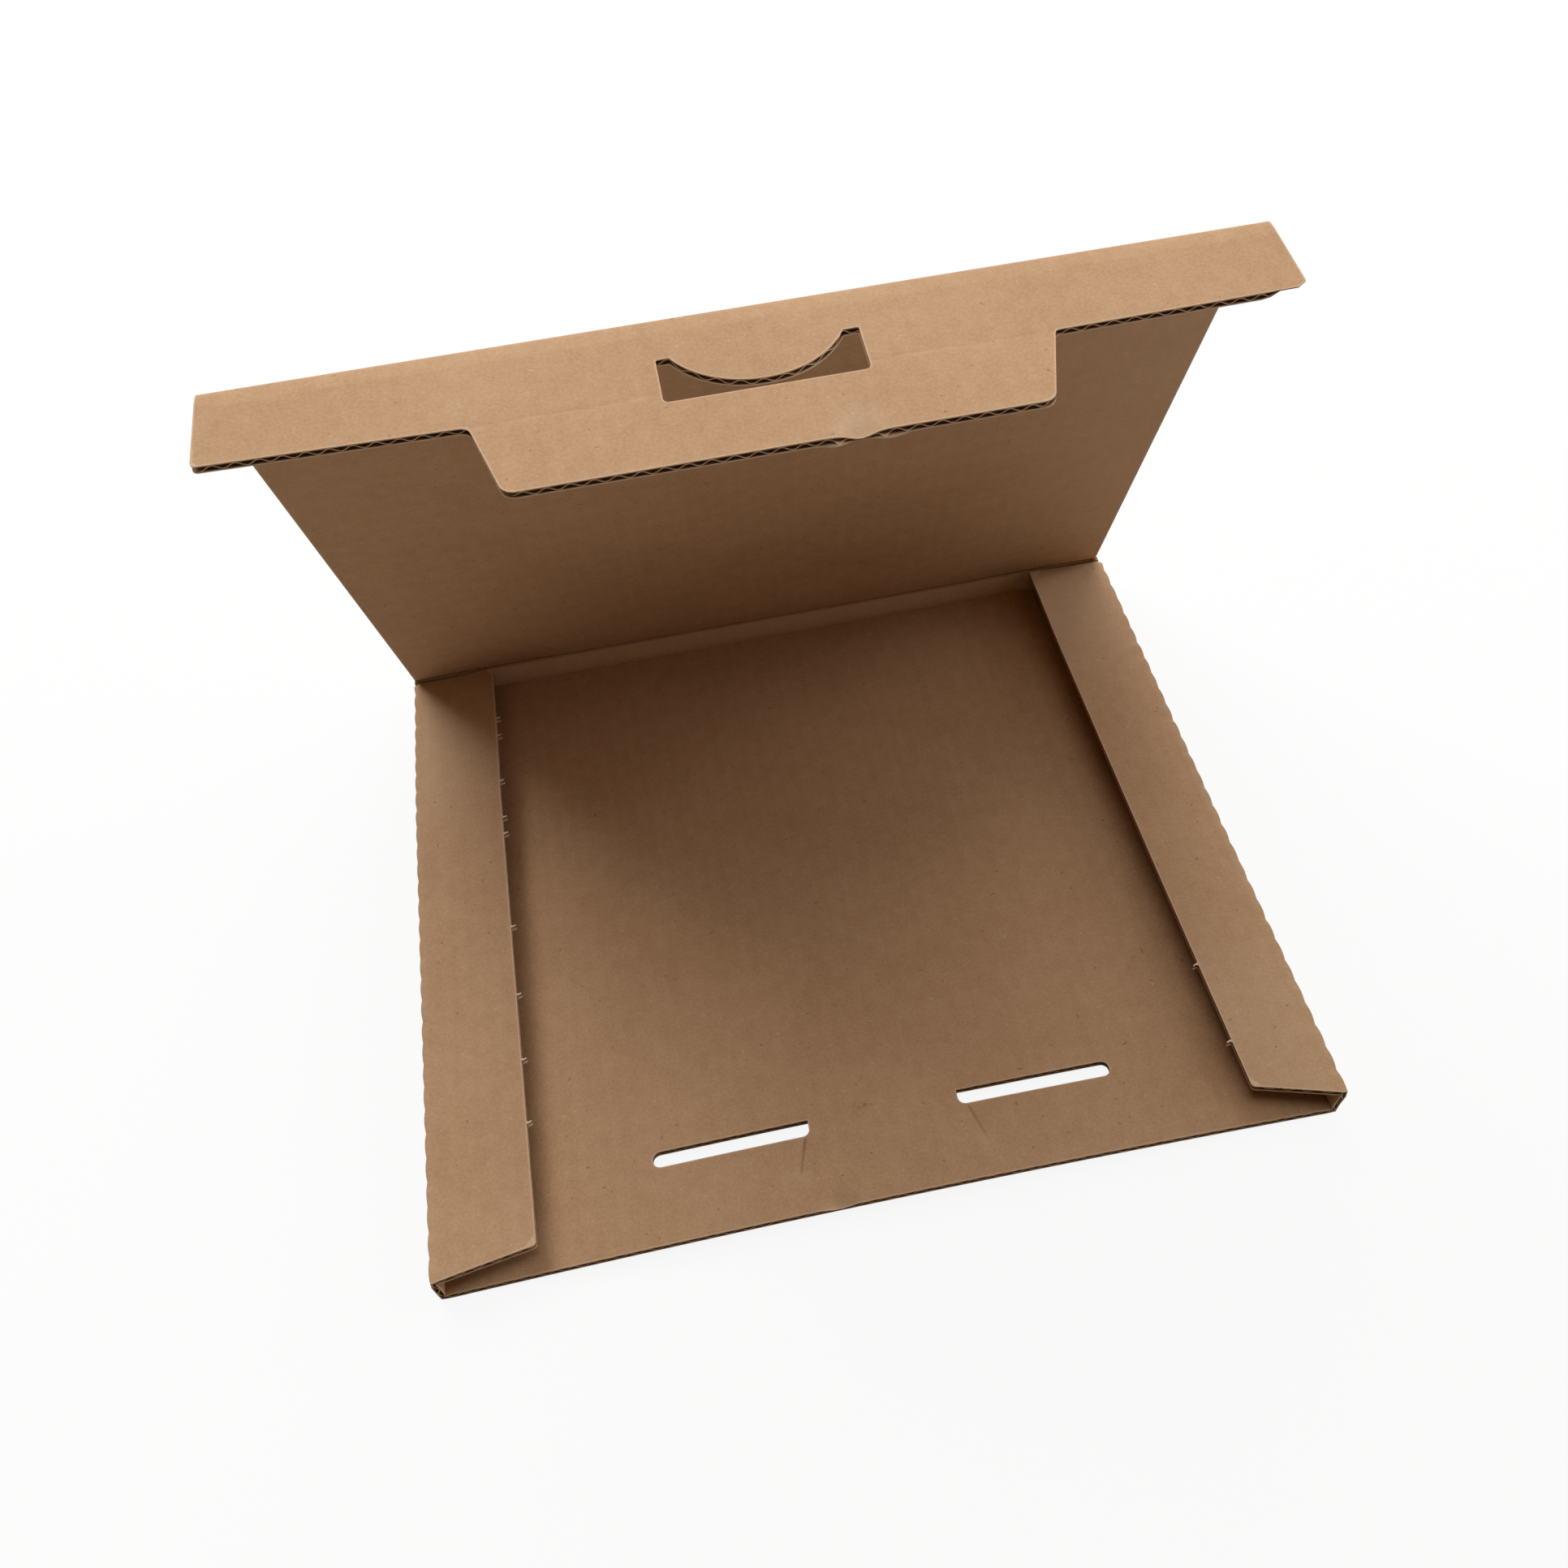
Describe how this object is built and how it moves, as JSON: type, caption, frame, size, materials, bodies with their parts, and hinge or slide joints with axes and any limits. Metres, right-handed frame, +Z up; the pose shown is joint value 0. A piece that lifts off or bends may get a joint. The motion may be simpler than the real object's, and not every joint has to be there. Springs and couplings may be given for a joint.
{
  "type": "record mailer box",
  "caption": "Shallow folded tray of kraft corrugated board with side flaps, a hinged lid, a closing strip with a finger cut-out and a tuck tongue, for posting a flat record sleeve.",
  "frame": {"origin": "middle of the base's underside", "axes": "+Z up, +X to the right, the open front faces -Y and the spine and lid hinge are at +Y"},
  "size_m": [0.351, 0.32, 0.3001],
  "materials": {
    "kraft_board": "matte uncoated brown kraft paper"
  },
  "bodies": {
    "tray": {"tray": "kraft_board"},
    "lid": {"lid": "kraft_board"},
    "closing_strip": {"closing_strip": "kraft_board"},
    "tuck_tongue": {"tuck_tongue": "kraft_board"}
  },
  "joints": [
    {"name": "lid_hinge", "type": "hinge", "parent": "tray", "child": "lid", "pos_m": [0, 0.1586, 0.0161], "axis": [-1, 0, 0], "range_deg": [-61.2, 118.8]},
    {"name": "closing_strip_fold", "type": "hinge", "parent": "lid", "child": "closing_strip", "pos_m": [0, 0.00323, 0.29871], "axis": [1, 0, 0], "range_deg": [-64.7, 25.3]},
    {"name": "tuck_tongue_fold", "type": "hinge", "parent": "closing_strip", "child": "tuck_tongue", "pos_m": [0, -0.03469, 0.29639], "axis": [1, 0, 0], "range_deg": [0, 90]}
  ]
}
